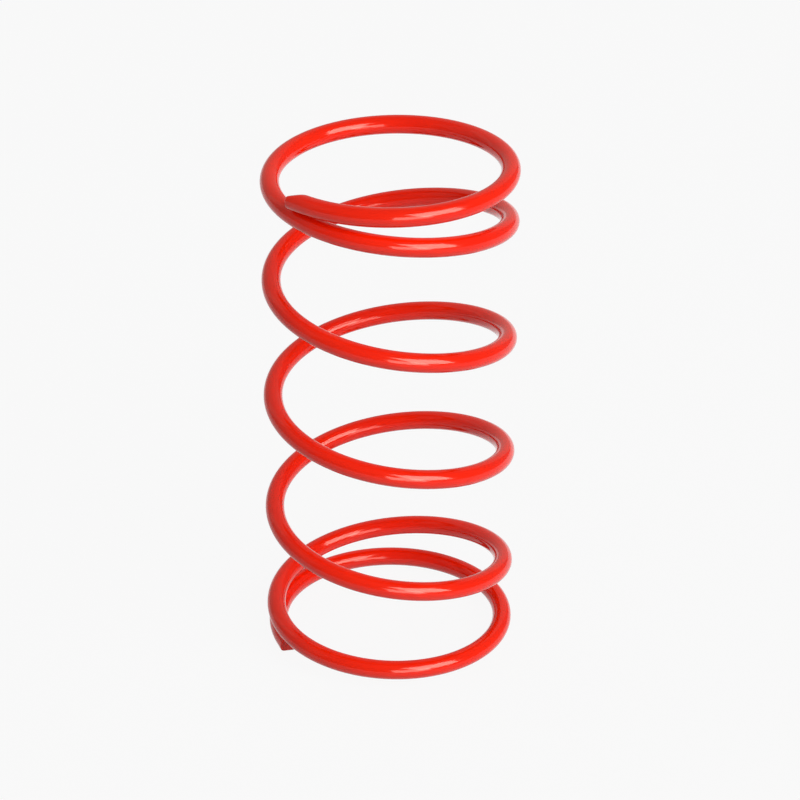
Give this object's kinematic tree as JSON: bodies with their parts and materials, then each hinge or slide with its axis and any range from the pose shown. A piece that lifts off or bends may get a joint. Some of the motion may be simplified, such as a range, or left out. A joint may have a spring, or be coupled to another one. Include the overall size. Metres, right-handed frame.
{
  "type": "compression spring",
  "caption": "Helical compression spring of round enamelled wire, left-hand coiled, with closed ends left unground; it pushes its two seats apart.",
  "frame": {"origin": "on the coil's axis, level with the ground that the bottom end stands on", "axes": "+Z along the coil's axis, from the bottom end to the top end; -Y is the front, with both wire tips at the left of it"},
  "size_m": [0.0534, 0.0537, 0.1115],
  "materials": {
    "red_enamel": "glossy red stoved enamel over spring steel wire"
  },
  "bodies": {
    "root": {"coil_spring": "red_enamel"}
  },
  "joints": []
}
